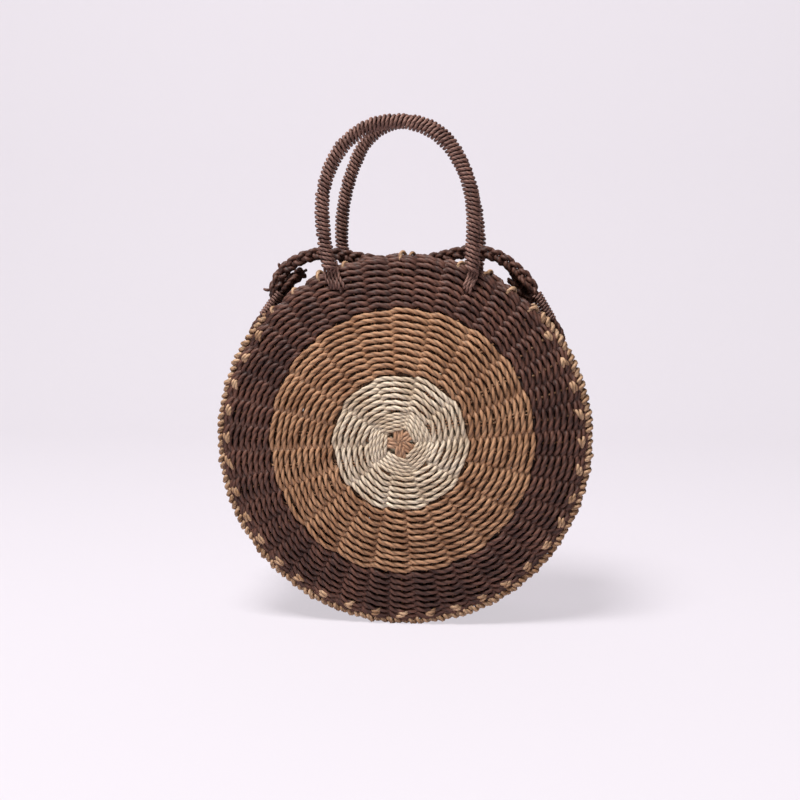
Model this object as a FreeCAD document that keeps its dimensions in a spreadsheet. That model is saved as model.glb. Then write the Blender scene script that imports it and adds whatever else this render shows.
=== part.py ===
import FreeCAD, Part
import math
import os
import Sketcher
from FreeCAD import Placement, Rotation, Vector

# Round handbag of twined paper rope: two domed round panels, a woven gusset between them that is
# open at the top, two wrapped arch handles, and a braid across the mouth between two side loops.
# Millimetres, +Z up, front panel towards -Y. The origin is under the middle, on the floor.

doc = FreeCAD.newDocument("round_bag")

driving_sizes = (
    ("clearance", 0.3, "gap left between neighbouring pieces"),
    ("gusset_width", 82, "width of the band between the two rims"),
    ("gusset_thickness", 7.4, "thickness of the woven band"),
    ("gusset_set_in", 1.5, "how far the band's middle lies inside the rim cord's middle"),
    ("gusset_rows", 16, "twined rows across the band"),
    ("mouth_half_angle", 47, "angle from the top to each end of the band"),
    ("hub_radius", 10.5, "where the spoke cords cross at a panel's middle"),
    ("hub_thickness", 6.4, "thickness of that crossing"),
    ("hub_rounding", 1.6, "rounding of its edges"),
    ("outer_weave_radius", 141, "outer radius of the brown rows"),
    ("outer_ring_width", 35.5, "width of the ring of brown rows"),
    ("middle_ring_width", 51, "width of the ring of tan rows"),
    ("centre_rows", 10, "twined rows in the cream ring"),
    ("middle_rows", 10, "twined rows in the tan ring"),
    ("outer_rows", 7, "twined rows in the brown ring"),
    ("weave_thickness", 7.8, "thickness of a panel over its rows"),
    ("row_hollow", 1.2, "depth of the hollow between two rows"),
    ("dome_rise", 22, "how far a panel's middle bulges out of its rim"),
    ("spoke_count", 40, "spoke cords that reach a panel's rim"),
    ("spoke_diameter", 2.6, "spoke cord"),
    ("spoke_play", 0.15, "gap between a spoke and the rows around it"),
    ("rim_cord_diameter", 7, "thick brown cord along a panel's edge"),
    ("spoke_end_diameter", 3.2, "tan spoke end folded over the rim cord"),
    ("spoke_end_start", 55, "angle round the rim cord where a spoke end starts"),
    ("spoke_end_sweep", 62, "angle that a spoke end covers"),
    ("lacing_diameter", 4, "tan lacing cord along the seam"),
    ("foot_flat", 1.6, "how deep the lacing is pressed flat underneath"),
    ("handle_core_diameter", 8, "bundle of cords inside a handle"),
    ("handle_wrap_diameter", 12.4, "handle over its wrapping"),
    ("handle_foot_spacing", 112, "distance between a handle's feet"),
    ("handle_leg_swell", 3.2, "how far a handle's legs swell out past its feet"),
    ("front_handle_leg", 42, "height of the front handle's widest place over its feet"),
    ("back_handle_leg", 20, "height of the back handle's widest place over its feet"),
    ("front_handle_rise", 69.7, "height of the front handle's arch over its widest place"),
    ("back_handle_rise", 102, "height of the back handle's arch over its widest place"),
    ("front_handle_narrowing", 4.2, "how much tighter than half its width the front handle's top is bent"),
    ("back_handle_narrowing", 13.2, "how much tighter than half its width the back handle's top is bent"),
    ("wrap_end_lift", 4, "length of bare core between a handle's foot and its wrapping"),
    ("handle_stand_off", 7, "how far a handle stands in front of the rim's middle"),
    ("handle_seat_gap", 0.5, "gap between a handle's foot and the rim cord"),
    ("lashing_diameter", 2.8, "cord that ties a handle's foot to the panel"),
    ("lashing_count", 4, "cords side by side in one lashing"),
    ("lashing_pitch", 3.1, "spacing of those cords"),
    ("lashing_reach", 16, "height of panel that a lashing covers"),
    ("lashing_lean", 6, "how far a lashing leans towards the middle"),
    ("loop_cord_diameter", 3.8, "cord of a side loop"),
    ("loop_cord_gap", 0.3, "gap between the loop's two legs"),
    ("loop_eye_half_width", 7.2, "half width of the loop's eye"),
    ("loop_eye_flare", 10.6, "length over which the legs part to the eye"),
    ("loop_root_length", 22, "length of the legs below the whipping"),
    ("loop_root_bend", 6, "bend where a leg turns into the gusset"),
    ("left_loop_angle", 46, "place of the left loop's neck, from the top"),
    ("right_loop_angle", 46, "place of the right loop's neck, from the top"),
    ("whipping_diameter", 1.7, "fine cord whipped round a loop's neck"),
    ("whipping_pitch", 2.2, "spacing of its turns"),
    ("whipping_turns", 9, "turns of the whipping"),
    ("whipping_play", 0.25, "gap between the whipping and the legs"),
    ("braid_diameter", 9, "braid across the mouth"),
)

# The braid's route, chosen by hand for loops whose necks lie this far from the panels' middle: x, y and
# height over that middle. It runs from the right tail, round the right eye, over the mouth, round the
# left eye to the left tail.
route_neck_radius = 153.2
braid_route = (
    (71.5, 0.0, 134.8),
    (75.9, 0.0, 128.2),
    (88.8, 0.0, 114.9),
    (102.3, 0.0, 128.2),
    (87.2, 1.0, 144.0),
    (68.0, 3.0, 150.0),
    (45.0, 5.0, 150.2),
    (16.0, 5.0, 143.0),
    (-12.0, 3.0, 142.5),
    (-40.0, 0.0, 148.6),
    (-65.0, -2.0, 151.0),
    (-88.3, -1.0, 142.5),
    (-102.4, 0.0, 128.2),
    (-88.8, 0.0, 114.9),
    (-75.9, 0.0, 128.2),
    (-70.5, 0.0, 135.8),
)

corner_share = 0.45
least_lacing_share = 0.9
full_turn = 360.0
quarter_turn = 90.0
sides = ("front", "back")

sheet = doc.addObject("Spreadsheet::Sheet", "sizes")
for row, (alias, number, meaning) in enumerate(driving_sizes, start=1):
    sheet.set(f"A{row}", meaning)
    sheet.set(f"B{row}", str(number))
    sheet.setAlias(f"B{row}", alias)
doc.recompute()


def size(alias):
    return float(sheet.get(alias))


def count(alias):
    return int(round(size(alias)))


def bind(item, **formulas):
    for prop, formula in formulas.items():
        item.setExpression(prop, formula)
    return item


# Places that several pieces share
middle_weave_radius = size("outer_weave_radius") - size("outer_ring_width")
centre_weave_radius = middle_weave_radius - size("middle_ring_width")
rim_radius = size("outer_weave_radius") + size("clearance") + size("rim_cord_diameter") / 2
rim_plane = size("gusset_width") / 2 + size("clearance") + size("rim_cord_diameter") / 2
dome_radius = (rim_radius ** 2 + size("dome_rise") ** 2) / (2 * size("dome_rise"))
dome_centre = size("dome_rise") - dome_radius
gusset_middle = rim_radius - size("gusset_set_in")
gusset_outside = gusset_middle + size("gusset_thickness") / 2
lacing_radius = gusset_outside + size("clearance") + size("lacing_diameter") / 2
lacing_to_rim = (size("rim_cord_diameter") + size("lacing_diameter")) / 2 + size("clearance")
lacing_depth = math.sqrt(max(lacing_to_rim ** 2 - (lacing_radius - rim_radius) ** 2, 0))
middle_height = lacing_radius + size("lacing_diameter") / 2 - size("foot_flat")
gusset_sweep = full_turn - 2 * size("mouth_half_angle")
gusset_start = quarter_turn + size("mouth_half_angle")

upright = Rotation(Vector(1, 0, 0), quarter_turn)
about_face = Rotation(Vector(0, 0, 1), full_turn / 2)
panel_places = {
    "front": Placement(Vector(0, -rim_plane, middle_height), upright),
    "back": Placement(Vector(0, rim_plane, middle_height), about_face.multiply(upright)),
}
gusset_place = Placement(Vector(0, 0, middle_height), upright)

sub_parts = []


def keep(item, label):
    item.Label = label
    sub_parts.append(item)
    return item


def shape_feature(label, shape, place=None):
    item = doc.addObject("Part::Feature", label)
    item.Shape = shape
    if place is not None:
        item.Placement = place
    return keep(item, label)


def group(label, members):
    item = doc.addObject("Part::Compound", label)
    item.Links = members
    return keep(item, label)


def tangent_arc(start, corner, end):
    # The arc that leaves start towards corner and reaches end from it, both at the same distance
    middle = (start + end) * 0.5
    half_chord = (end - start).Length / 2
    rise = corner - middle
    bend = math.atan2(rise.Length, half_chord)
    return Part.Arc(start, middle + rise * (half_chord * math.tan(bend / 2) / rise.Length), end).toShape()


def run(start, end):
    return Part.LineSegment(start, end).toShape()


def tube(edges, diameter):
    path = Part.Wire(edges)
    first = edges[0]
    section = Part.Circle(first.valueAt(first.FirstParameter), first.tangentAt(first.FirstParameter),
                          diameter / 2)
    return path.makePipeShell([Part.Wire([section.toShape()])], True, False), path.Length


def compare_volume(name, solid, length, diameter):
    ratio = solid.Volume / (length * math.pi * diameter ** 2 / 4)
    print(f"{name}: {length:.1f} mm long, volume over section times length {ratio:.4f}")


# Panels

def dome_point(radius, lift):
    # A point over the dome's middle surface, in the plane of the panel's axis
    lean = math.asin(radius / dome_radius)
    reach = dome_radius + lift
    return Vector(reach * math.sin(lean), 0, dome_centre + reach * math.cos(lean))


def row_edges(points_at, stations, lift, hollow):
    # One arc over each row, from hollow to hollow
    edges = []
    for first, second in zip(stations, stations[1:]):
        edges.append(Part.Arc(points_at(first, lift - hollow), points_at((first + second) / 2, lift),
                              points_at(second, lift - hollow)).toShape())
    return edges


def woven_outline(points_at, start, end, rows, thickness):
    stations = [start + (end - start) * step / rows for step in range(rows + 1)]
    hollow = size("row_hollow")
    over = row_edges(points_at, stations, thickness / 2, hollow)
    under = row_edges(lambda place, lift: points_at(place, -lift), stations, thickness / 2, hollow)
    low, high = hollow - thickness / 2, thickness / 2 - hollow
    ends = [run(points_at(place, low), points_at(place, high)) for place in (start, end)]
    return Part.Face(Part.Wire(Part.__sortEdges__(over + under + ends)))


def dome_bar(name, diameter_formula, from_radius, to_radius, turn, place):
    # A cord that follows the dome from one radius to another, turned about the panel's axis
    outer_lean = math.degrees(math.asin(to_radius / dome_radius))
    inner_lean = math.degrees(math.asin(from_radius / dome_radius))
    bar = doc.addObject("Part::Torus", name)
    bind(bar, Radius2=diameter_formula)
    bar.Radius1 = dome_radius
    bar.Angle3 = outer_lean - inner_lean
    raised = Rotation(Vector(0, -1, 0), quarter_turn - outer_lean).multiply(upright)
    turned = Rotation(Vector(0, 0, 1), turn).multiply(raised)
    bar.Placement = place.multiply(Placement(Vector(0, 0, dome_centre), turned))
    return bar


def spoke_turns():
    number = count("spoke_count")
    return [quarter_turn + full_turn * spoke / number for spoke in range(number)]


# The spokes start where they have room to lie side by side
spoke_start = count("spoke_count") * (size("spoke_diameter") + 2 * size("clearance")) / (2 * math.pi)


def make_hub(side):
    body = doc.addObject("PartDesign::Body", f"{side}_hub")
    plane = [item for item in body.Origin.OriginFeatures if item.Role == "XY_Plane"][0]
    sketch = body.newObject("Sketcher::SketchObject", f"{side}_hub_outline")
    sketch.AttachmentSupport = [(plane, "")]
    sketch.MapMode = "FlatFace"
    ring = sketch.addGeometry(Part.Circle(Vector(), Vector(0, 0, 1), size("hub_radius")), False)
    sketch.addConstraint(Sketcher.Constraint("Coincident", ring, 3, -1, 1))
    radius = sketch.addConstraint(Sketcher.Constraint("Radius", ring, size("hub_radius")))
    bind(sketch, **{f"Constraints[{radius}]": "sizes.hub_radius - sizes.clearance / 2"})
    pad = body.newObject("PartDesign::Pad", f"{side}_hub_disc")
    pad.Profile = sketch
    pad.Midplane = True
    bind(pad, Length="sizes.hub_thickness")
    doc.recompute()
    rounding = body.newObject("PartDesign::Fillet", f"{side}_hub_rounding")
    rounding.Base = (pad, ["Face1"])
    rounding.UseAllEdges = True
    bind(rounding, Radius="sizes.hub_rounding")
    body.Placement = panel_places[side].multiply(Placement(Vector(0, 0, size("dome_rise")), Rotation()))
    return keep(body, f"{side}_hub")


def make_spokes(side):
    reach = size("outer_weave_radius")
    bars = [dome_bar(f"{side}_spoke_{index}", "sizes.spoke_diameter / 2", spoke_start, reach, turn,
                     panel_places[side])
            for index, turn in enumerate(spoke_turns())]
    return group(f"{side}_spokes", bars)


def make_weaves(rings):
    # The rows pass on both sides of every spoke, so each ring has a channel for it
    flat = Placement()
    channels = doc.addObject("Part::Compound", "spoke_channels")
    channels.Links = [
        dome_bar(f"channel_{index}", "sizes.spoke_diameter / 2 + sizes.spoke_play",
                 spoke_start - size("clearance"), rim_radius, turn, flat)
        for index, turn in enumerate(spoke_turns())]
    for name, start, end, rows in rings:
        first = start + size("clearance") / 2
        last = end - size("clearance") / 2
        outline = woven_outline(dome_point, first, last, rows, size("weave_thickness"))
        ring = doc.addObject("Part::Feature", f"{name}_ring")
        ring.Shape = outline.revolve(Vector(), Vector(0, 0, 1), full_turn)
        woven = doc.addObject("Part::Cut", f"{name}_channelled")
        woven.Base = ring
        woven.Tool = channels
        doc.recompute()
        for side in sides:
            shape_feature(f"{side}_{name}", woven.Shape.copy(), panel_places[side])


def make_rim_cord(side):
    cord = doc.addObject("Part::Torus", f"{side}_rim_cord")
    bind(cord, Radius2="sizes.rim_cord_diameter / 2",
         Radius1="sizes.outer_weave_radius + sizes.clearance + sizes.rim_cord_diameter / 2")
    cord.Placement = panel_places[side]
    return keep(cord, f"{side}_rim_cord")


def make_spoke_ends(side):
    ends = []
    tilt = Rotation(Vector(0, -1, 0), size("spoke_end_start")).multiply(upright)
    for index, turn in enumerate(spoke_turns()):
        end = doc.addObject("Part::Torus", f"{side}_spoke_end_{index}")
        bind(end, Radius2="sizes.spoke_end_diameter / 2", Angle3="sizes.spoke_end_sweep",
             Radius1="(sizes.rim_cord_diameter + sizes.spoke_end_diameter) / 2 + sizes.clearance")
        around = Rotation(Vector(0, 0, 1), turn)
        place = Placement(around.multVec(Vector(rim_radius, 0, 0)), around.multiply(tilt))
        end.Placement = panel_places[side].multiply(place)
        ends.append(end)
    return group(f"{side}_spoke_ends", ends)


def make_seam_lacing(side):
    section = doc.addObject("Part::Circle", f"{side}_lacing_section")
    bind(section, Radius="sizes.lacing_diameter / 2")
    start = Placement(Vector(0, 0, -lacing_depth), Rotation(Vector(0, 0, 1), gusset_start))
    across = Placement(Vector(lacing_radius, 0, 0), upright)
    section.Placement = panel_places[side].multiply(start.multiply(across))
    cord = doc.addObject("Part::Revolution", f"{side}_lacing_cord")
    cord.Source = section
    cord.Axis = panel_places[side].Rotation.multVec(Vector(0, 0, 1))
    cord.Base = panel_places[side].Base
    cord.Solid = True
    bind(cord, Angle="360 - 2 * sizes.mouth_half_angle")
    floor = doc.addObject("Part::Box", f"{side}_lacing_floor")
    bind(floor, Length="4 * sizes.outer_weave_radius", Width="4 * sizes.gusset_width",
         Height="4 * sizes.lacing_diameter")
    doc.recompute()
    floor.Placement.Base = Vector(-floor.Length.Value / 2, -floor.Width.Value / 2, -floor.Height.Value)
    pressed = doc.addObject("Part::Cut", f"{side}_seam_lacing")
    pressed.Base = cord
    pressed.Tool = floor
    doc.recompute()
    left_over = pressed.Shape.Volume / cord.Shape.Volume
    print(f"{side}_seam_lacing: {left_over:.4f} of the cord is left over its flat foot")
    if not least_lacing_share < left_over < 1:
        raise RuntimeError(f"{side}_seam_lacing is not pressed flat as it should be")
    return keep(pressed, f"{side}_seam_lacing")


# Gusset

def make_gusset():
    half = size("gusset_width") / 2

    def band_point(place, lift):
        return Vector(gusset_middle + lift, 0, place)

    outline = woven_outline(band_point, -half, half, count("gusset_rows"), size("gusset_thickness"))
    outline.rotate(Vector(), Vector(0, 0, 1), gusset_start)
    band = doc.addObject("Part::Feature", "gusset_band")
    band.Shape = outline.revolve(Vector(), Vector(0, 0, 1), gusset_sweep)
    band.Placement = gusset_place
    step = full_turn / count("spoke_count")
    number = int((gusset_sweep - step) // step)
    first = gusset_start + (gusset_sweep - (number - 1) * step) / 2
    stakes, channels = [], []
    for index in range(number):
        around = Rotation(Vector(0, 0, 1), first + index * step)
        place = Placement(around.multVec(Vector(gusset_middle, 0, -half)), around)
        for members, name, radius in ((stakes, "stake", "sizes.spoke_diameter / 2"),
                                      (channels, "stake_channel",
                                       "sizes.spoke_diameter / 2 + sizes.spoke_play")):
            rod = doc.addObject("Part::Cylinder", f"{name}_{index}")
            bind(rod, Radius=radius, Height="sizes.gusset_width")
            rod.Placement = gusset_place.multiply(place)
            members.append(rod)
    bores = doc.addObject("Part::Compound", "stake_channels")
    bores.Links = channels
    woven = doc.addObject("Part::Cut", "gusset_weave")
    woven.Base = band
    woven.Tool = bores
    keep(woven, "gusset_weave")
    group("gusset_stakes", stakes)


# Handles

core_radius = size("handle_core_diameter") / 2
foot_x = size("handle_foot_spacing") / 2
seat_reach = core_radius + size("rim_cord_diameter") / 2 + size("handle_seat_gap")
foot_radius = rim_radius + math.sqrt(max(seat_reach ** 2 - size("handle_stand_off") ** 2, 0))
foot_height = middle_height + math.sqrt(foot_radius ** 2 - foot_x ** 2)
handle_depth = rim_plane + size("handle_stand_off")
handle_depths = {"front": -handle_depth, "back": handle_depth}


def handle_path(side):
    # A round top, two flatter haunches down to the widest place, and legs drawn in towards their feet
    leg, rise = size(f"{side}_handle_leg"), size(f"{side}_handle_rise")
    swell, narrowing = size("handle_leg_swell"), size(f"{side}_handle_narrowing")
    half_width = foot_x + swell
    top_radius = half_width - narrowing
    top_middle = rise - top_radius
    haunch_radius = (half_width ** 2 + top_middle ** 2 - top_radius ** 2) / (2 * narrowing)
    turn = math.atan2(top_middle, haunch_radius - half_width)
    leg_radius = (leg ** 2 + swell ** 2) / (2 * swell)
    lean = math.asin(leg / leg_radius)
    sketch = doc.addObject("Sketcher::SketchObject", f"{side}_handle_path")
    sketch.Placement = Placement(Vector(0, handle_depths[side], foot_height), upright)

    def arc(x, y, radius, start, end):
        circle = Part.Circle(Vector(x, y, 0), Vector(0, 0, 1), radius)
        return sketch.addGeometry(Part.ArcOfCircle(circle, start, end), False)

    right = arc(half_width - leg_radius, leg, leg_radius, -lean, 0)
    right_haunch = arc(half_width - haunch_radius, leg, haunch_radius, 0, turn)
    top = arc(0, leg + top_middle, top_radius, turn, math.pi - turn)
    left_haunch = arc(haunch_radius - half_width, leg, haunch_radius, math.pi - turn, math.pi)
    left = arc(leg_radius - half_width, leg, leg_radius, math.pi, math.pi + lean)
    sketch.addConstraint([
        Sketcher.Constraint("Tangent", right, 2, right_haunch, 1),
        Sketcher.Constraint("Tangent", right_haunch, 2, top, 1),
        Sketcher.Constraint("Tangent", top, 2, left_haunch, 1),
        Sketcher.Constraint("Tangent", left_haunch, 2, left, 1),
        Sketcher.Constraint("PointOnObject", top, 3, -2),
        Sketcher.Constraint("Horizontal", right_haunch, 3, right_haunch, 1),
        Sketcher.Constraint("Horizontal", left_haunch, 3, left_haunch, 2),
        Sketcher.Constraint("Equal", right_haunch, left_haunch),
        Sketcher.Constraint("Equal", right, left),
        Sketcher.Constraint("PointOnObject", right, 1, -1),
        Sketcher.Constraint("Symmetric", right, 1, left, 2, -1, 1),
    ])
    wide = "sizes.handle_foot_spacing / 2 + sizes.handle_leg_swell"
    bent = f"{wide} - sizes.{side}_handle_narrowing"
    formulas = ((Sketcher.Constraint("DistanceX", -1, 1, right, 1, foot_x), "sizes.handle_foot_spacing / 2"),
                (Sketcher.Constraint("DistanceX", -1, 1, right_haunch, 1, half_width), wide),
                (Sketcher.Constraint("DistanceY", -1, 1, right_haunch, 1, leg), f"sizes.{side}_handle_leg"),
                (Sketcher.Constraint("Radius", top, top_radius), bent),
                (Sketcher.Constraint("DistanceY", -1, 1, top, 3, leg + top_middle),
                 f"sizes.{side}_handle_leg + sizes.{side}_handle_rise - ({bent})"))
    for constraint, formula in formulas:
        bind(sketch, **{f"Constraints[{sketch.addConstraint(constraint)}]": formula})
    doc.recompute()
    return sketch, lean


def handle_sweep(name, path, lean, radius_formula):
    section = doc.addObject("Part::Circle", f"{name}_section")
    bind(section, Radius=radius_formula)
    heading = Vector(math.sin(lean), math.cos(lean), 0)
    foot = Placement(Vector(foot_x, 0, 0), Rotation(Vector(0, 0, 1), heading))
    section.Placement = path.Placement.multiply(foot)
    rod = doc.addObject("Part::Sweep", name)
    rod.Sections = [section]
    rod.Spine = (path, [f"Edge{index + 1}" for index in range(len(path.Shape.Edges))])
    rod.Solid = True
    rod.Frenet = False
    return rod


def handle_foot(side, hand, sign):
    # The round end that the handle turns on
    ball = doc.addObject("Part::Sphere", f"{side}_{hand}_handle_foot")
    bind(ball, Radius="sizes.handle_core_diameter / 2")
    ball.Placement.Base = Vector(sign * foot_x, handle_depths[side], foot_height)
    return ball


def make_handle(side):
    path, lean = handle_path(side)
    bundle = handle_sweep(f"{side}_core_bundle", path, lean, "sizes.handle_core_diameter / 2")
    core = doc.addObject("Part::MultiFuse", f"{side}_handle_core")
    core.Shapes = [bundle, handle_foot(side, "left", -1), handle_foot(side, "right", 1)]
    keep(core, f"{side}_handle_core")
    outside = handle_sweep(f"{side}_wrap_outside", path, lean, "sizes.handle_wrap_diameter / 2")
    bore = handle_sweep(f"{side}_wrap_bore", path, lean,
                        "sizes.handle_core_diameter / 2 + sizes.spoke_play")
    sleeve = doc.addObject("Part::Cut", f"{side}_wrap_sleeve")
    sleeve.Base = outside
    sleeve.Tool = bore
    below = doc.addObject("Part::Box", f"{side}_below_wrap")
    bind(below, Length="2 * sizes.handle_foot_spacing", Width="2 * sizes.handle_wrap_diameter",
         Height="2 * sizes.handle_wrap_diameter")
    doc.recompute()
    below.Placement.Base = Vector(-below.Length.Value / 2, handle_depths[side] - below.Width.Value / 2,
                                  foot_height + size("wrap_end_lift") - below.Height.Value)
    wrap = doc.addObject("Part::Cut", f"{side}_handle_wrap")
    wrap.Base = sleeve
    wrap.Tool = below
    keep(wrap, f"{side}_handle_wrap")


def make_lashing(side, hand, sign):
    # Cords side by side from the handle's foot down over the face of the panel
    cord = size("lashing_diameter") / 2
    top_height = foot_height - core_radius - size("clearance")
    low_height = top_height - size("lashing_reach")
    facing = -1 if side == "front" else 1
    members = []
    number = count("lashing_count")
    for index in range(number):
        across = (index - (number - 1) / 2) * size("lashing_pitch")
        top_x = foot_x + across
        low_x = top_x - size("lashing_lean")
        low_radius = math.hypot(low_x, low_height - middle_height)
        lift = size("weave_thickness") / 2 + size("clearance") + cord
        surface = dome_point(low_radius, lift)
        top = Vector(sign * top_x, facing * handle_depth, top_height)
        low = Vector(sign * low_x, facing * (rim_plane + surface.z), low_height)
        leaning = math.hypot(low.x - top.x, low.y - top.y) / (low - top).Length
        top.z -= cord * leaning
        rod = doc.addObject("Part::Cylinder", f"{side}_{hand}_lashing_{index}")
        bind(rod, Radius="sizes.lashing_diameter / 2")
        rod.Height = (low - top).Length
        rod.Placement = Placement(top, Rotation(Vector(0, 0, 1), low - top))
        members.append(rod)
    return group(f"{side}_handle_{hand}_lashing", members)


# Side loops

def loop_place(angle, sign):
    # Local x runs along the rim towards the top, local y across the gusset, local z away from it
    turn = math.radians(angle)
    outwards = Vector(sign * math.sin(turn), 0, math.cos(turn))
    along = Vector(-sign * math.cos(turn), 0, math.sin(turn))
    centre = Vector(0, 0, middle_height) + outwards * loop_neck_radius
    return Placement(centre, Rotation(along, outwards.cross(along), outwards, "ZXY"))


leg_offset = (size("loop_cord_diameter") + size("loop_cord_gap")) / 2
whipping_radius = (leg_offset + size("loop_cord_diameter") / 2 + size("whipping_play")
                   + size("whipping_diameter") / 2)
neck_half = size("whipping_pitch") * size("whipping_turns") / 2
loop_neck_radius = gusset_outside + size("clearance") + whipping_radius + size("whipping_diameter") / 2


def loop_edges():
    root = -neck_half - size("loop_root_length")
    bend = size("loop_root_bend")
    flare, eye = size("loop_eye_flare"), size("loop_eye_half_width")
    seat = math.sqrt(gusset_outside ** 2 - root ** 2) - loop_neck_radius + size("clearance")
    spread = eye - leg_offset
    ease = (flare ** 2 + spread ** 2) / (4 * flare)
    parting = neck_half + flare

    def leg(hand):
        near = Vector(root + bend, hand * leg_offset, 0)
        corner = Vector(root, hand * leg_offset, 0)
        turned = Vector(root, hand * leg_offset, -bend)
        neck_end = Vector(neck_half, hand * leg_offset, 0)
        wide = Vector(parting, hand * eye, 0)
        halfway = (neck_end + wide) * 0.5
        return [run(Vector(root, hand * leg_offset, seat), turned), tangent_arc(turned, corner, near),
                run(near, neck_end),
                tangent_arc(neck_end, neck_end + Vector(ease, 0, 0), halfway),
                tangent_arc(halfway, wide - Vector(ease, 0, 0), wide)]

    bight = Part.Arc(Vector(parting, -eye, 0), Vector(parting + eye, 0, 0), Vector(parting, eye, 0))
    return leg(-1) + [bight.toShape()] + leg(1)[::-1]


def helix_point(turns):
    turn = 2 * math.pi * turns
    return Vector(turns * size("whipping_pitch") - neck_half, whipping_radius * math.cos(turn),
                  whipping_radius * math.sin(turn))


def helix_heading(turns):
    turn = 2 * math.pi * turns
    around = whipping_radius * 2 * math.pi
    heading = Vector(size("whipping_pitch"), -around * math.sin(turn), around * math.cos(turn))
    return heading.normalize()


def biarc(start, heading, end, end_heading):
    # Two tangent arcs from one point and heading to another
    step = end - start
    both = heading + end_heading
    spread = 2 * (1 - heading.dot(end_heading))
    along = step.dot(both)
    reach = (-along + math.sqrt(along ** 2 + spread * step.dot(step))) / spread
    first = start + heading * reach
    second = end - end_heading * reach
    joint = (first + second) * 0.5
    return [tangent_arc(start, first, joint), tangent_arc(joint, second, end)]


def whipping_edges():
    quarter = 0.25
    steps = int(round(size("whipping_turns") / quarter))
    edges = []
    for step in range(steps):
        here, there = step * quarter, (step + 1) * quarter
        edges += biarc(helix_point(here), helix_heading(here), helix_point(there), helix_heading(there))
    stub = size("whipping_diameter")
    first, last = helix_point(0), helix_point(size("whipping_turns"))
    lead_in = run(first - helix_heading(0) * stub, first)
    lead_out = run(last, last + helix_heading(size("whipping_turns")) * stub)
    return [lead_in] + edges + [lead_out]


def least_whipping_gap():
    per_turn = 48
    most_of_turn = 36
    samples = [helix_point(step / per_turn) for step in range(per_turn * count("whipping_turns") + 1)]
    near = min((first - second).Length for index, first in enumerate(samples)
               for second in samples[index + most_of_turn:])
    return near - size("whipping_diameter")


def make_side_loop(hand, angle, sign):
    place = loop_place(angle, sign)
    loop, length = tube(loop_edges(), size("loop_cord_diameter"))
    shape_feature(f"{hand}_side_loop", loop, place)
    compare_volume(f"{hand}_side_loop", loop, length, size("loop_cord_diameter"))
    whipping, length = tube(whipping_edges(), size("whipping_diameter"))
    shape_feature(f"{hand}_loop_whipping", whipping, place)
    compare_volume(f"{hand}_loop_whipping", whipping, length, size("whipping_diameter"))
    print(f"{hand}_loop_whipping: least gap between turns {least_whipping_gap():.2f} mm")


# Braid across the mouth

def rounded_route(points, share):
    # Straight runs joined by tangent arcs, each as large as its two runs allow
    edges, place = [], points[0]
    for before, corner, after in zip(points, points[1:], points[2:]):
        back, ahead = before - corner, after - corner
        half_turn = (math.pi - back.getAngle(ahead)) / 2
        trim = share * min(back.Length, ahead.Length)
        print(f"braid bend of {math.degrees(2 * half_turn):.0f} degrees, "
              f"radius {trim / math.tan(half_turn):.1f} mm")
        start = corner + back.normalize() * trim
        end = corner + ahead.normalize() * trim
        edges += [run(place, start), tangent_arc(start, corner, end)]
        place = end
    return edges + [run(place, points[-1])]


def make_braid():
    grown = loop_neck_radius / route_neck_radius
    points = [Vector(grown * x, y, middle_height + grown * height) for x, y, height in braid_route]
    braid, length = tube(rounded_route(points, corner_share), size("braid_diameter"))
    shape_feature("mouth_braid", braid)
    compare_volume("mouth_braid", braid, length, size("braid_diameter"))


weave_rings = (
    ("centre_weave", size("hub_radius"), centre_weave_radius, count("centre_rows")),
    ("middle_weave", centre_weave_radius, middle_weave_radius, count("middle_rows")),
    ("outer_weave", middle_weave_radius, size("outer_weave_radius"), count("outer_rows")),
)
make_weaves(weave_rings)
for side in sides:
    make_hub(side)
    make_spokes(side)
    make_rim_cord(side)
    make_spoke_ends(side)
    make_seam_lacing(side)
    make_handle(side)
    make_lashing(side, "left", -1)
    make_lashing(side, "right", 1)
make_gusset()
make_side_loop("left", size("left_loop_angle"), -1)
make_side_loop("right", size("right_loop_angle"), 1)
make_braid()
doc.recompute()

for item in doc.Objects:
    if "Invalid" in item.State or "Error" in item.State:
        raise RuntimeError(f"{item.Label} did not build: {item.State}")
for item in sub_parts:
    if item.Shape.isNull() or not item.Shape.isValid() or not item.Shape.Solids:
        raise RuntimeError(f"{item.Label} has no sound solid")

os.makedirs("parts", exist_ok=True)
for item in sub_parts:
    item.Shape.exportStep(f"parts/{item.Label}.step")
    print(f"{item.Label}: {len(item.Shape.Solids)} solids, {item.Shape.Volume / 1000:.2f} cm3")
print(f"panel middle at {middle_height:.2f} mm, handle feet at {foot_height:.2f} mm, "
      f"{len(sub_parts)} sub-parts")
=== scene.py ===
import math

import bmesh
import bpy
import numpy as np
from mathutils import Matrix, Vector


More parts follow.
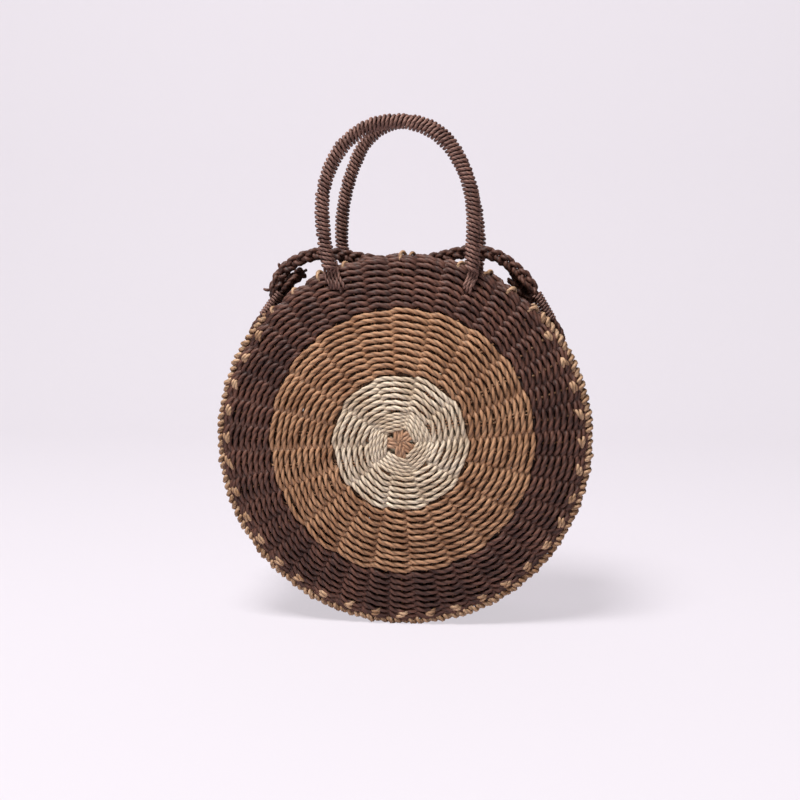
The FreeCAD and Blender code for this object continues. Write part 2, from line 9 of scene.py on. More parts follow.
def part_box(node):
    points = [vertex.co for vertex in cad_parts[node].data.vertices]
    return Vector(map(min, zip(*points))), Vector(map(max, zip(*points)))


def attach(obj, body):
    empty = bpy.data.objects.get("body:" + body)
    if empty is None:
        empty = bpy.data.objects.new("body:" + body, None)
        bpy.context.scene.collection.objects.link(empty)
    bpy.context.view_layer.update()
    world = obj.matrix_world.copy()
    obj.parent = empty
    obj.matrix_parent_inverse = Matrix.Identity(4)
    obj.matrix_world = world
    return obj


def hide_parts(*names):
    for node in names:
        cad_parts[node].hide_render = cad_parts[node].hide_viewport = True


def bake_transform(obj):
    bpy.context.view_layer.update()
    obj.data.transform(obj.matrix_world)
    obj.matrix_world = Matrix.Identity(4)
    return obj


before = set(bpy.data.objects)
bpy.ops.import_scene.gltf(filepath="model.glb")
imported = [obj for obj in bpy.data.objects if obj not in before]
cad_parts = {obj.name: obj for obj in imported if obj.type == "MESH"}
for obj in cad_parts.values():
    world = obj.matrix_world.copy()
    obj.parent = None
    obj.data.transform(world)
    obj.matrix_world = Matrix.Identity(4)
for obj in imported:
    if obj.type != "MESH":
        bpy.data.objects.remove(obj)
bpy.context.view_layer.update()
scene = bpy.context.scene
scene.view_settings.view_transform = "Standard"
dice = np.random.default_rng(41)
mm = 1000.0

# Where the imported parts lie, in mm
rimLow, rimHigh = (np.array(corner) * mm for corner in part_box("front_rim_cord"))
hubLow, hubHigh = (np.array(corner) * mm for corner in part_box("front_hub"))
rimCordRadius = (rimHigh[1] - rimLow[1]) / 2
rimRadius = (rimHigh[0] - rimLow[0]) / 2 - rimCordRadius
rimPlane = -(rimHigh[1] + rimLow[1]) / 2
middleHeight = (rimHigh[2] + rimLow[2]) / 2
domeRise = -(hubHigh[1] + hubLow[1]) / 2 - rimPlane
domeRadius = (rimRadius ** 2 + domeRise ** 2) / (2 * domeRise)
print("frame loaded:", len(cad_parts), "nodes, panel middle at", round(middleHeight, 2),
      "dome rise", round(domeRise, 2))


# Ropes

ropeTip = (0, 0.85)  # an open rope narrows to nothing over its last two points
mergeDistance = 1e-7


def travelAlong(points):
    # Distance along a line up to each of its points
    return np.concatenate([[0], np.cumsum(np.linalg.norm(np.diff(points, axis=0), axis=1))])


def meshFromCurve(holder, *helpers):
    # Mesh of a curve object, which is then removed with its helpers
    for thing in (*helpers, holder):
        scene.collection.objects.link(thing)
    graph = bpy.context.evaluated_depsgraph_get()
    mesh = bpy.data.meshes.new_from_object(holder.evaluated_get(graph))
    for thing in (holder, *helpers):
        data = thing.data
        bpy.data.objects.remove(thing)
        bpy.data.curves.remove(data)
    return mesh


def smoothLine(points, steps=6, order=4):
    # Points along a smooth NURBS line
    curve = bpy.data.curves.new("line", "CURVE")
    curve.dimensions = "3D"
    curve.resolution_u = steps
    spline = curve.splines.new("NURBS")
    spline.points.add(len(points) - 1)
    for point, place in zip(spline.points, points):
        point.co = (*(np.asarray(place, float) / mm), 1)
    spline.order_u = order
    spline.use_endpoint_u = True
    mesh = meshFromCurve(bpy.data.objects.new("line", curve))
    line = np.array([vert.co for vert in mesh.vertices]) * mm
    bpy.data.meshes.remove(mesh)
    return line


def sectionOf(rope):
    # Section of a laid rope, with a shallow groove between two plies
    curve = bpy.data.curves.new("ropeSection", "CURVE")
    spline = curve.splines.new("POLY")
    spline.points.add(rope["corners"] - 1)
    for index, point in enumerate(spline.points):
        turn = 2 * math.pi * index / rope["corners"]
        dip = rope["groove"] * (0.5 - 0.5 * math.cos(rope["plies"] * turn))
        reach = rope["diameter"] / 2 / mm * (1 - dip)
        point.co = (reach * math.cos(turn), reach * math.sin(turn), 0, 1)
    spline.use_cyclic_u = True
    return bpy.data.objects.new("ropeSection", curve)


def sweepRope(name, strands, rope, closed=False):
    # Strands are lists of points in mm, and the section turns along each as the plies do. A fourth column says
    # how far the rope is behind the spokes, where it is fuller and where the material paints shade
    section = sectionOf(rope)
    curve = bpy.data.curves.new(name, "CURVE")
    curve.dimensions = "3D"
    curve.bevel_mode = "OBJECT"
    curve.bevel_object = section
    depths = []
    for strand in strands:
        columns = np.asarray(strand, float)
        points = columns[:, :3] / mm
        behind = columns[:, 3] if columns.shape[1] > 3 else np.zeros(len(points))
        depths.append(behind)
        travel = travelAlong(points)
        lay = rope["lay"] / mm
        if closed:  # a whole number of twists
            around = travel[-1] + np.linalg.norm(points[0] - points[-1])
            lay = around / max(1, round(around / lay))
        spline = curve.splines.new("POLY")
        spline.points.add(len(points) - 1)
        spline.points.foreach_set("co", np.column_stack([points, np.ones(len(points))]).ravel())
        spline.points.foreach_set("tilt", 2 * math.pi * travel / lay)
        spline.points.foreach_set("radius", 1 + rope.get("fuller", 0) * behind)
        spline.use_cyclic_u = closed
        if not closed:
            for place, radius in enumerate(ropeTip):
                spline.points[place].radius = spline.points[-1 - place].radius = radius
    mesh = meshFromCurve(bpy.data.objects.new(name, curve), section)
    turns = 2 * math.pi * np.arange(rope["corners"]) / rope["corners"]
    # ply runs from 1 on the plies' crowns to -1 in their groove; the material bumps it and paints shade in the groove
    ply = np.tile(np.cos(rope["plies"] * turns), len(mesh.vertices) // rope["corners"])
    behind = np.repeat(np.concatenate(depths), rope["corners"])
    # behind is stored as the mask of the painted recess shade, which is later narrowed to the faces looking out
    for title, values in (("ply", ply), ("behind", behind)):
        mesh.attributes.new(title, "FLOAT", "POINT").data.foreach_set("value", values.astype(np.float32))
    shape = bmesh.new()
    shape.from_mesh(mesh)
    if not closed:
        bmesh.ops.remove_doubles(shape, verts=shape.verts, dist=mergeDistance)
    bmesh.ops.recalc_face_normals(shape, faces=shape.faces)
    for face in shape.faces:
        face.smooth = True
    shape.to_mesh(mesh)
    shape.free()
    mesh.materials.clear()
    mesh.name = name
    return mesh


def shadeRecess(mesh, outward):
    # Painted shade: of the rope behind the spokes only the face that looks out through the gaps is darkened, and the
    # behind attribute becomes its mask
    count = len(mesh.vertices)
    places, normals, depth = np.zeros(3 * count), np.zeros(3 * count), np.zeros(count)
    mesh.vertices.foreach_get("co", places)
    mesh.vertices.foreach_get("normal", normals)
    mesh.attributes["behind"].data.foreach_get("value", depth)
    facing = (normals.reshape(-1, 3) * outward(places.reshape(-1, 3))).sum(axis=1)
    mesh.attributes["behind"].data.foreach_set("value", depth * np.clip(0.5 + facing, 0, 1))


def joinMeshes(mesh, other):
    shape = bmesh.new()
    shape.from_mesh(mesh)
    shape.from_mesh(other)
    shape.to_mesh(mesh)
    shape.free()
    bpy.data.meshes.remove(other)


def addPiece(name, mesh, material, body, nodes):
    piece = bpy.data.objects.new(name, mesh)
    mesh.materials.append(material)
    scene.collection.objects.link(piece)
    if body:  # a blended piece has two bodies and is left unattached here
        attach(piece, body)
    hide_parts(*nodes)
    return piece


def addBothSides(name, mesh, material, node):
    # The back panel is the front one turned half round
    back = mesh.copy()
    back.transform(Matrix.Rotation(math.pi, 4, "Z"))
    addPiece("front" + name, mesh, material, "bag", ["front_" + node])
    addPiece("back" + name, back, material, "bag", ["back_" + node])


# Materials

def linearColour(text):
    parts = [int(text[place:place + 2], 16) / 255 for place in (1, 3, 5)]
    return [part / 12.92 if part <= 0.04045 else ((part + 0.055) / 1.055) ** 2.4 for part in parts] + [1]


def addNode(tree, kind, settings, links):
    node = tree.nodes.new(kind)
    for key, value in settings.items():
        if isinstance(key, str) and hasattr(node, key):
            setattr(node, key, value)
        else:
            node.inputs[key].default_value = value
    for key, source in links.items():
        tree.links.new(source, node.inputs[key])
    return node


# The dark ends of the crease, groove and recess settings are painted shade, in the crease hollows, the plies' groove
# and on rope behind the spokes
ropeLook = {"roughness": 0.6, "specular": 0.42, "bump": 0.6,
            "patchSize": 16, "patchDetail": 2.0, "patchBand": (0.33, 0.67),
            "creaseSize": 1.1, "creaseDetail": 3.0, "creaseBand": (0.3, 0.7), "creaseShade": 0.86, "creaseDepth": 0.8,
            "crownBand": (-1.0, 0.1), "grooveShade": 0.42, "grooveDepth": 0.34,
            "recessStart": 0.3, "recessShade": 0.3}


def paperRope(look):
    # Twisted kraft paper: matt and with creases, the plies' crowns left bright, with painted shade in their groove,
    # in the bump's crease hollows and on rope behind the spokes
    material = bpy.data.materials.new(look["name"])
    material.use_nodes = True
    tree = material.node_tree
    shader = tree.nodes["Principled BSDF"]
    shader.inputs["Roughness"].default_value = look["roughness"]
    shader.inputs["Specular IOR Level"].default_value = look["specular"]
    place = addNode(tree, "ShaderNodeTexCoord", {}, {})
    ply = addNode(tree, "ShaderNodeAttribute", {"attribute_name": "ply"}, {})
    behind = addNode(tree, "ShaderNodeAttribute", {"attribute_name": "behind"}, {})
    patch = addNode(tree, "ShaderNodeTexNoise", {"Scale": mm / look["patchSize"], "Detail": look["patchDetail"]},
                    {"Vector": place.outputs["Object"]})
    crease = addNode(tree, "ShaderNodeTexNoise", {"Scale": mm / look["creaseSize"], "Detail": look["creaseDetail"]},
                     {"Vector": place.outputs["Object"]})
    shades = addNode(tree, "ShaderNodeValToRGB", {}, {"Fac": patch.outputs["Fac"]})
    for stop, position, shade in zip(shades.color_ramp.elements, look["patchBand"], (look["deep"], look["pale"])):
        stop.position = position
        stop.color = linearColour(shade)
    crown = addNode(tree, "ShaderNodeMapRange",
                    {"From Min": look["crownBand"][0], "From Max": look["crownBand"][1]},
                    {"Value": ply.outputs["Fac"]})
    # Painted shade: the colour is darkened where the crease noise is low, in the bump's crease hollows
    creaseShading = addNode(tree, "ShaderNodeMapRange",
                      {"From Min": look["creaseBand"][0], "From Max": look["creaseBand"][1],
                       "To Min": look["creaseShade"]},
                      {"Value": crease.outputs["Fac"]})
    # Painted shade: the colour is darkened in the groove between the plies
    grooveShading = addNode(tree, "ShaderNodeMapRange", {"To Min": look["grooveShade"]}, {"Value": crown.outputs["Result"]})
    dim = addNode(tree, "ShaderNodeMath", {"operation": "MULTIPLY"},
                  {0: grooveShading.outputs["Result"], 1: creaseShading.outputs["Result"]})
    # Painted shade on the rope behind the spokes, through the behind mask
    recess = addNode(tree, "ShaderNodeMapRange",
                     {"From Min": look["recessStart"], "To Min": 1.0, "To Max": look["recessShade"]},
                     {"Value": behind.outputs["Fac"]})
    dimmer = addNode(tree, "ShaderNodeMath", {"operation": "MULTIPLY"},
                     {0: dim.outputs["Value"], 1: recess.outputs["Result"]})
    colour = addNode(tree, "ShaderNodeVectorMath", {"operation": "SCALE"},
                     {0: shades.outputs["Color"], "Scale": dimmer.outputs["Value"]})
    height = addNode(tree, "ShaderNodeMath", {"operation": "MULTIPLY_ADD", 1: look["creaseDepth"]},
                     {0: crease.outputs["Fac"], 2: crown.outputs["Result"]})
    bump = addNode(tree, "ShaderNodeBump", {"Strength": look["bump"], "Distance": look["grooveDepth"] / mm},
                   {"Height": height.outputs["Value"]})
    tree.links.new(colour.outputs["Vector"], shader.inputs["Base Color"])
    tree.links.new(bump.outputs["Normal"], shader.inputs["Normal"])
    return material


creamRope = paperRope({**ropeLook, "name": "creamPaperRope", "deep": "#ccb396", "pale": "#eedbc2"})
tanRope = paperRope({**ropeLook, "name": "tanPaperRope", "deep": "#976a4a", "pale": "#c3946f"})
brownRope = paperRope({**ropeLook, "name": "brownPaperRope", "deep": "#492a21", "pale": "#6e4739"})
edgeRope = paperRope({**ropeLook, "name": "edgePaperRope", "deep": "#98704f", "pale": "#cba583"})
hubRope = paperRope({**ropeLook, "name": "hubPaperRope", "deep": "#b08464", "pale": "#d6ad8d"})
fineCord = paperRope({**ropeLook, "name": "fineBrownPaperCord", "deep": "#64433a", "pale": "#926b5e",
                      "patchSize": 9, "creaseSize": 0.8})
print("paper rope materials made")


# Panels

def panelPoints(radius, turn, lift):
    # Turn is clockwise from the top as seen from outside, lift is out of the dome's middle surface
    lean = np.arcsin(radius / domeRadius)
    reach = domeRadius + lift
    outwards = reach * np.sin(lean)
    depth = reach * np.cos(lean) + domeRise - domeRadius
    return np.column_stack([outwards * np.sin(turn), -rimPlane - depth, middleHeight + outwards * np.cos(turn)])


def twinedRow(radius, weave):
    # Two ropes turn half round each other from spoke to spoke, and the one behind lies between the rows.
    # An odd count of columns makes them one long rope
    columns = weave["columns"]
    rounds = 1 + columns % 2
    count = int(2 * math.pi * radius * rounds / weave["step"])
    turn = np.linspace(0, 2 * math.pi * rounds, count, endpoint=False)
    half = math.pi / columns
    along = turn - math.radians(weave["firstColumn"]) + half
    column = np.floor(along / (2 * half)).astype(int)
    off = along - half - column * 2 * half
    column %= columns * rounds
    swell = np.cos(off / half * math.pi / 2) ** 2
    chord = 1 - weave["straight"] * (1 - math.cos(half) / np.cos(off))
    strands = []
    for strand in range(2 // rounds):
        phase = (along - half) * columns / 2 + math.pi * strand
        stray = dice.normal(0, weave["stray"], columns * rounds)
        raised = dice.normal(0, weave["stray"], columns * rounds)
        ahead = np.tanh(weave["sharp"] * np.cos(phase)) / math.tanh(weave["sharp"])
        lift = weave["lift"] * ahead + raised[column] * swell
        slide = -weave["slide"] * np.sin(phase) * (1 + np.minimum(ahead, 0)) + stray[column] * swell
        slide -= weave["settle"] * (1 - ahead) / 2
        strands.append(np.column_stack([panelPoints(radius * chord + slide, turn, lift), (1 - ahead) / 2]))
    return strands


def rowsBetween(start, end, count):
    pitch = (end - start) / count
    return [start + (index + 0.5) * pitch for index in range(count)]


weaveRope = {"diameter": 4.2, "fuller": 0.36, "groove": 0.25, "plies": 2, "corners": 8, "lay": 17}
centreRows = {"rope": {"diameter": 3.4, "fuller": 0.1, "lay": 12}, "columns": 5, "firstColumn": 49.5,
              "lift": 1.6, "slide": 0.9, "settle": 1.4, "sharp": 2.2, "stray": 0.2, "step": 1.1,
              "rows": ((13.9, 0.85), (16.9, 0.75), (19.9, 0.65), (22.8, 0.55), (25.6, 0.5))}  # radius and straight
creamRows = {"rope": {"diameter": 3.85}, "rows": (26.0, 54.3, 6), "columns": 10, "firstColumn": 31.5,
             "lift": 2.2, "slide": 1.2, "settle": 2.3, "sharp": 2.4, "straight": 0.4, "stray": 0.25, "step": 1.3}
tanRows = {"rope": {"diameter": 4.2}, "rows": (54.2, 105.5, 10), "columns": 20, "firstColumn": 22.5,
           "lift": 2.5, "slide": 1.0, "settle": 2.5, "sharp": 2.2, "straight": 0.3, "stray": 0.3, "step": 1.4}
brownRows = {"rope": {"diameter": 4.5}, "rows": (105.5, 141, 7), "edgeRow": 142.4, "columns": 40, "firstColumn": 0,
             "lift": 2.4, "slide": 0.9, "settle": 2.5, "sharp": 1.8, "straight": 0.2, "stray": 0.22, "step": 1.4}


def wovenRing(name, radii, weave):
    strands = []
    for radius in radii:
        strands += twinedRow(radius, weave)
    mesh = sweepRope(name, strands, {**weaveRope, **weave["rope"]}, closed=True)
    # Painted shade on the rope behind the spokes, on the face looking out of the panel
    shadeRecess(mesh, lambda places: np.array([0.0, -1.0, 0.0]))
    return mesh


centreStrands = []
for radius, straight in centreRows["rows"]:
    centreStrands += twinedRow(radius, {**centreRows, "straight": straight})
creamMesh = sweepRope("creamInner", centreStrands, {**weaveRope, **centreRows["rope"]}, closed=True)
joinMeshes(creamMesh, wovenRing("creamOuter", rowsBetween(*creamRows["rows"]), creamRows))
addBothSides("CreamRows", creamMesh, creamRope, "centre_weave")
tanMesh = wovenRing("tanRows", rowsBetween(*tanRows["rows"]), tanRows)
addBothSides("TanRows", tanMesh, tanRope, "middle_weave")
brownMesh = wovenRing("brownRows", [*rowsBetween(*brownRows["rows"]), brownRows["edgeRow"]], brownRows)
addBothSides("BrownRows", brownMesh, brownRope, "outer_weave")
print("panel rows made:", len(creamMesh.polygons), len(tanMesh.polygons), len(brownMesh.polygons), "faces")

spokeCords = {"rope": {"diameter": 2.5, "groove": 0.2, "plies": 2, "corners": 6, "lay": 8},
              "count": 40, "points": 40, "reach": (9.5, 143), "spacing": 2.5, "firstGroup": 49.5,
              # radius and number of groups
              "splits": ((10, 5), (22, 5), (28, 10), (52, 10), (59, 20), (102, 20), (110, 40), (143, 40))}
spokePitch = 360 / spokeCords["count"]


def spokeLine(index):
    # Cords lie in groups of eight at the middle, and part into fours, pairs and single cords
    firstCord = spokeCords["firstGroup"] - 4 * spokePitch + spokePitch / 2
    knots, angles, sides = [], [], []
    for radius, groups in spokeCords["splits"]:
        size = spokeCords["count"] // groups
        knots.append(radius)
        angles.append(firstCord + spokePitch * (index // size * size + (size - 1) / 2))
        sides.append((index % size - (size - 1) / 2) * spokeCords["spacing"])
    radii = np.linspace(*spokeCords["reach"], spokeCords["points"])
    centre = np.interp(radii, knots, angles)
    beside = np.interp(radii, knots, sides)
    return panelPoints(radii, np.radians(centre) + beside / radii, 0)


spokeLines = [spokeLine(index) for index in range(spokeCords["count"])]
spokeMesh = sweepRope("spokeCords", spokeLines, spokeCords["rope"])
addBothSides("SpokeCords", spokeMesh, tanRope, "spokes")

hubCords = {"rope": {"diameter": 3.6, "groove": 0.15, "plies": 2, "corners": 8, "lay": 14},
            "turns": (47, 117, 178, 272, 350), "perBundle": 3, "spacing": 2.6, "start": -1.6, "stepBack": 0.9,
            "outer": 14.5, "rise": 1.4, "wave": (0.3, 1.15), "uneven": 0.15, "points": 14}


def hubLines():
    # Five flat bundles that cross at the middle and go under the first cream row
    wave = np.sin(np.linspace(*hubCords["wave"], hubCords["points"]) * math.pi)
    lines = []
    for turn in np.radians(hubCords["turns"]):
        for cord in range(hubCords["perBundle"]):
            beside = (cord - (hubCords["perBundle"] - 1) / 2) * hubCords["spacing"]
            start = hubCords["start"] + abs(beside) * hubCords["stepBack"]
            out = np.linspace(start, hubCords["outer"], hubCords["points"])
            rise = hubCords["rise"] * wave + dice.normal(0, hubCords["uneven"])
            lines.append(panelPoints(np.hypot(out, beside), turn + np.arctan2(beside, out), rise))
    return lines


hubMesh = sweepRope("hubCords", hubLines(), hubCords["rope"])
addBothSides("HubCords", hubMesh, hubRope, "hub")

rimRows = {"rope": {"diameter": 5.4, "fuller": 0}, "columns": 40, "firstColumn": 0,
           "lift": 1.5, "slide": 1.2, "settle": 2.6, "sharp": 1.6, "straight": 0.1, "stray": 0.25, "step": 1.6}
rimMesh = wovenRing("rimRope", (rimRadius,), rimRows)
addBothSides("RimRope", rimMesh, brownRope, "rim_cord")

spokeTips = {"rope": {"diameter": 3.3, "groove": 0.2, "plies": 2, "corners": 8, "lay": 12}, "hookDiameter": 3.4,
             # along the rim, out from the middle and out of the panel
             "stitch": ((-4.0, -0.7, 0.2), (-3.4, -0.7, 3.6), (0, 0, 5.2), (3.4, 0.8, 3.6), (4.0, 0.9, 0.2)),
             "hook": ((-2.6, -3.5, 2.2), (-2.4, 0.5, 4.0), (-0.8, 4.6, 2.6), (1.6, 4.8, -0.6), (3.0, 1.0, -3.4)),
             "stitched": range(6, 35), "hooked": (-5, -4, -3, -2, 0, 2, 3, 4, 5),  # the others are tucked in
             "mouthHalf": 46, "inset": 4.3, "hookInset": 0.6, "apart": 1.1,
             "stray": 0.006, "grow": (0.8, 1.1), "hookGrow": (0.8, 1.05), "slant": (-1.2, 2.4)}


def tipLine(index, strand):
    # Round the seam a spoke's end is a double stitch inside the rim, at the mouth it hooks over the rim
    angle = (spokePitch * index + 180) % 360 - 180
    turn = math.radians(angle) + dice.normal(0, spokeTips["stray"])
    grow = dice.uniform(*spokeTips["grow"])
    if abs(angle) < spokeTips["mouthHalf"]:
        line = smoothLine(spokeTips["hook"]) * dice.uniform(*spokeTips["hookGrow"])
        middle, slant = rimRadius - spokeTips["hookInset"], 1
    else:
        line = smoothLine(spokeTips["stitch"])
        middle = rimRadius - spokeTips["inset"] + strand * spokeTips["apart"]
        slant = dice.uniform(*spokeTips["slant"])
    return panelPoints(middle + line[:, 1] * slant, turn + line[:, 0] * grow / middle, line[:, 2])


stitches = [tipLine(index, strand) for index in spokeTips["stitched"] for strand in (-1, 1)]
hooks = [tipLine(index, 0) for index in spokeTips["hooked"]]
tipMesh = sweepRope("spokeTips", stitches, spokeTips["rope"])
hookMesh = sweepRope("mouthHooks", hooks, {**spokeTips["rope"], "diameter": spokeTips["hookDiameter"]})
joinMeshes(tipMesh, hookMesh)
addBothSides("SpokeTips", tipMesh, edgeRope, "spoke_ends")

seamStitches = {"rope": {"diameter": 4.3, "groove": 0.2, "plies": 2, "corners": 7, "lay": 11}, "radius": 147.3,
                "depth": -0.2, "across": 2.1, "deep": 3.2, "pitch": 5.7, "slant": 1.2, "loose": (0.5, 1.25),
                "perTurn": 12, "mouthHalf": 48}


def seamLine():
    # Whip stitches over the rim and the gusset's edge, as one long coil
    start, end = math.radians(seamStitches["mouthHalf"]), math.radians(360 - seamStitches["mouthHalf"])
    turns = int((end - start) * seamStitches["radius"] / seamStitches["pitch"])
    along = np.linspace(0, turns, turns * seamStitches["perTurn"] + 1)
    loose = np.interp(along, np.arange(turns + 1), dice.uniform(*seamStitches["loose"], turns + 1))
    swing, dip = np.cos(2 * math.pi * along), np.sin(2 * math.pi * along)
    radius = seamStitches["radius"] + seamStitches["across"] * loose * swing
    lift = seamStitches["depth"] + seamStitches["deep"] * loose * dip
    slant = seamStitches["slant"] * loose * swing / seamStitches["radius"]
    turn = start + (end - start) * along / turns - slant
    return np.column_stack([radius * np.sin(turn), -rimPlane - lift, middleHeight + radius * np.cos(turn)])


seamMesh = sweepRope("seamStitches", [seamLine()], seamStitches["rope"])
for vert in seamMesh.vertices:  # the bag stands on these stitches, so they are pressed flat
    vert.co.z = max(vert.co.z, 0)
addBothSides("SeamStitches", seamMesh, edgeRope, "seam_lacing")
print("spokes, hub, rim and seam made")


# Gusset

gusset = {"rope": {"diameter": 4.7, "fuller": 0.34, "groove": 0.25, "plies": 2, "corners": 7, "lay": 13},
          "radius": 143.3, "width": 82, "rows": 16, "ends": (47.6, 312.4),
          "firstStake": 58.5, "stakeStep": 9, "stakes": 28, "stakePoints": 24,
          "lift": 2.3, "slide": 1.2, "settle": 2.5, "sharp": 1.6, "step": 1.75}


def gussetStrand(strand):
    # One rope goes to and fro round the band, a row at a time
    pitch = gusset["width"] / gusset["rows"]
    start, end = (math.radians(angle) for angle in gusset["ends"])
    turn = np.linspace(start, end, int((end - start) * gusset["radius"] / gusset["step"]))
    phase = math.pi * (np.degrees(turn) - gusset["firstStake"]) / gusset["stakeStep"] + math.pi * strand
    ahead = np.tanh(gusset["sharp"] * np.cos(phase)) / math.tanh(gusset["sharp"])
    radius = gusset["radius"] + gusset["lift"] * ahead
    height = middleHeight + radius * np.cos(turn)
    points = []
    for row in range(gusset["rows"]):
        across = -gusset["width"] / 2 + (row + 0.5) * pitch + gusset["settle"] * ahead / 2
        across -= gusset["slide"] * np.sin(phase) * (1 + np.minimum(ahead, 0))
        line = np.column_stack([radius * np.sin(turn), across, height, (1 - ahead) / 2])
        points.append(line if row % 2 == 0 else line[::-1])
    return np.concatenate(points)


def awayFromMiddle(places):
    return (places - (0, 0, middleHeight / mm)) * (1, 0, 1) / (gusset["radius"] / mm)


gussetMesh = sweepRope("gussetRows", [gussetStrand(0), gussetStrand(1)], gusset["rope"])
# Painted shade on the rope behind the stakes, on the face looking away from the bag's middle
shadeRecess(gussetMesh, awayFromMiddle)
addPiece("gussetRows", gussetMesh, brownRope, "bag", ["gusset_weave"])


def stakeLine(index):
    turn = math.radians(gusset["firstStake"] + gusset["stakeStep"] * index)
    across = np.linspace(-gusset["width"] / 2, gusset["width"] / 2, gusset["stakePoints"])
    reach = np.full(gusset["stakePoints"], gusset["radius"])
    return np.column_stack([reach * math.sin(turn), across, middleHeight + reach * math.cos(turn)])


stakeMesh = sweepRope("gussetStakes", [stakeLine(index) for index in range(gusset["stakes"])], spokeCords["rope"])
addPiece("gussetStakes", stakeMesh, tanRope, "bag", ["gusset_stakes"])
print("gusset made:", len(gussetMesh.polygons), "faces")


# Handles

handle = {"footX": 56, "footHeight": 287.42, "depth": 51.8, "footOut": 1.8, "footReach": 14, "swell": 3.2, "below": 4,
          "front": {"leg": 42, "rise": 69.7, "narrowing": 4.2}, "back": {"leg": 20, "rise": 102, "narrowing": 13.2},
          "bow": 5.2, "bowShape": 0.45,
          "wrap": {"diameter": 2.9, "groove": 0.15, "plies": 2, "corners": 7, "lay": 9},
          "outside": 6.2, "pitch": 3.35, "slant": 1.0, "lift": 1, "uneven": 0.28, "perTurn": 14,
          "core": {"diameter": 3.2, "groove": 0.25, "plies": 2, "corners": 7, "lay": 9},
          "coreCords": 5, "coreRing": 2.3, "coreLay": 160, "corePoints": 90}


def handleLine(side):
    # Places, headings and distances along the middle of a handle, from the right foot over the top to the left one
    leg, rise, narrowing = (handle[side][key] for key in ("leg", "rise", "narrowing"))
    halfWidth = handle["footX"] + handle["swell"]
    topRadius = halfWidth - narrowing
    topMiddle = rise - topRadius
    haunchRadius = (halfWidth ** 2 + topMiddle ** 2 - topRadius ** 2) / (2 * narrowing)
    bend = math.atan2(topMiddle, haunchRadius - halfWidth)
    legRadius = (leg ** 2 + handle["swell"] ** 2) / (2 * handle["swell"])
    lean = math.asin(leg / legRadius) + handle["below"] / legRadius
    arcs = ((halfWidth - legRadius, leg, legRadius, -lean, 0),
            (halfWidth - haunchRadius, leg, haunchRadius, 0, bend),
            (0, leg + topMiddle, topRadius, bend, math.pi - bend),
            (haunchRadius - halfWidth, leg, haunchRadius, math.pi - bend, math.pi),
            (legRadius - halfWidth, leg, legRadius, math.pi, math.pi + lean))
    line, heading = [], []
    for x, z, radius, first, last in arcs:  # a point for each mm
        angles = np.linspace(first, last, max(2, int(radius * (last - first))), endpoint=last > math.pi)
        line.append(np.column_stack([x + radius * np.cos(angles), z + radius * np.sin(angles)]))
        heading.append(np.column_stack([-np.sin(angles), np.cos(angles)]))
    line, heading = np.concatenate(line), np.concatenate(heading)
    return line, heading, travelAlong(line)


def roundHandle(side, travel, reach, turn):
    # Places round the handle's middle line, at a distance along it
    line, heading, length = handleLine(side)
    at = np.clip(travel, 0, length[-1])
    x, z = (np.interp(at, length, line[:, axis]) for axis in (0, 1))
    x = x - handle["bow"] * np.sin(math.pi * at / length[-1]) ** handle["bowShape"]
    headingX, headingZ = (np.interp(at, length, heading[:, axis]) for axis in (0, 1))
    facing = -1 if side == "front" else 1
    near = np.clip(1 - np.minimum(at, length[-1] - at) / handle["footReach"], 0, 1)
    depth = handle["depth"] + handle["footOut"] * near ** 2
    out = reach * np.cos(turn)
    return np.column_stack([x + out * headingZ, facing * depth + reach * np.sin(turn),
                            handle["footHeight"] + z - out * headingX])


def makeHandle(side):
    body = side + "_handle"
    length = handleLine(side)[2][-1]
    turns = int((length - 2 * handle["lift"]) / handle["pitch"])
    along = np.linspace(0, turns, turns * handle["perTurn"] + 1)
    travel = handle["lift"] + (length - 2 * handle["lift"]) * along / turns
    turn = -2 * math.pi * along
    uneven = np.interp(along, np.arange(turns + 1), dice.normal(0, handle["uneven"], turns + 1))
    reach = handle["outside"] - handle["wrap"]["diameter"] / 2 + uneven
    coil = roundHandle(side, travel - handle["slant"] * np.cos(turn), reach, turn)
    wrapMesh = sweepRope(side + "HandleWrap", [coil], handle["wrap"])
    addPiece(side + "HandleWrap", wrapMesh, fineCord, body, [side + "_handle_wrap"])
    cords = []
    travel = np.linspace(0, length, handle["corePoints"])
    for cord in range(handle["coreCords"]):
        turn = 2 * math.pi * (cord / handle["coreCords"] + travel / handle["coreLay"])
        cords.append(roundHandle(side, travel, handle["coreRing"], turn))
    coreMesh = sweepRope(side + "HandleCore", cords, handle["core"])
    addPiece(side + "HandleCore", coreMesh, brownRope, body, [side + "_handle_core"])


lashing = {"rope": {"diameter": 2.8, "groove": 0.25, "plies": 2, "corners": 8, "lay": 9}, "reach": 18, "uneven": 1.8,
           "Left": {"cords": 5, "spacing": 2.7, "lean": 5.0}, "Right": {"cords": 4, "spacing": 2.2, "lean": 4.0},
           # shares of the spacing and the lean, out of the panel, and over the foot or the lower end
           "upper": ((0.7, 0, 0, 5), (0.9, 0, 0.4, 0), (1, 0, 0.6, -6), (1, 0.5, 2.2, -12)),
           "lower": ((1, 0.9, 3.4, 3), (1, 1, 2.6, 0), (1, 1, -3.5, -1.5))}


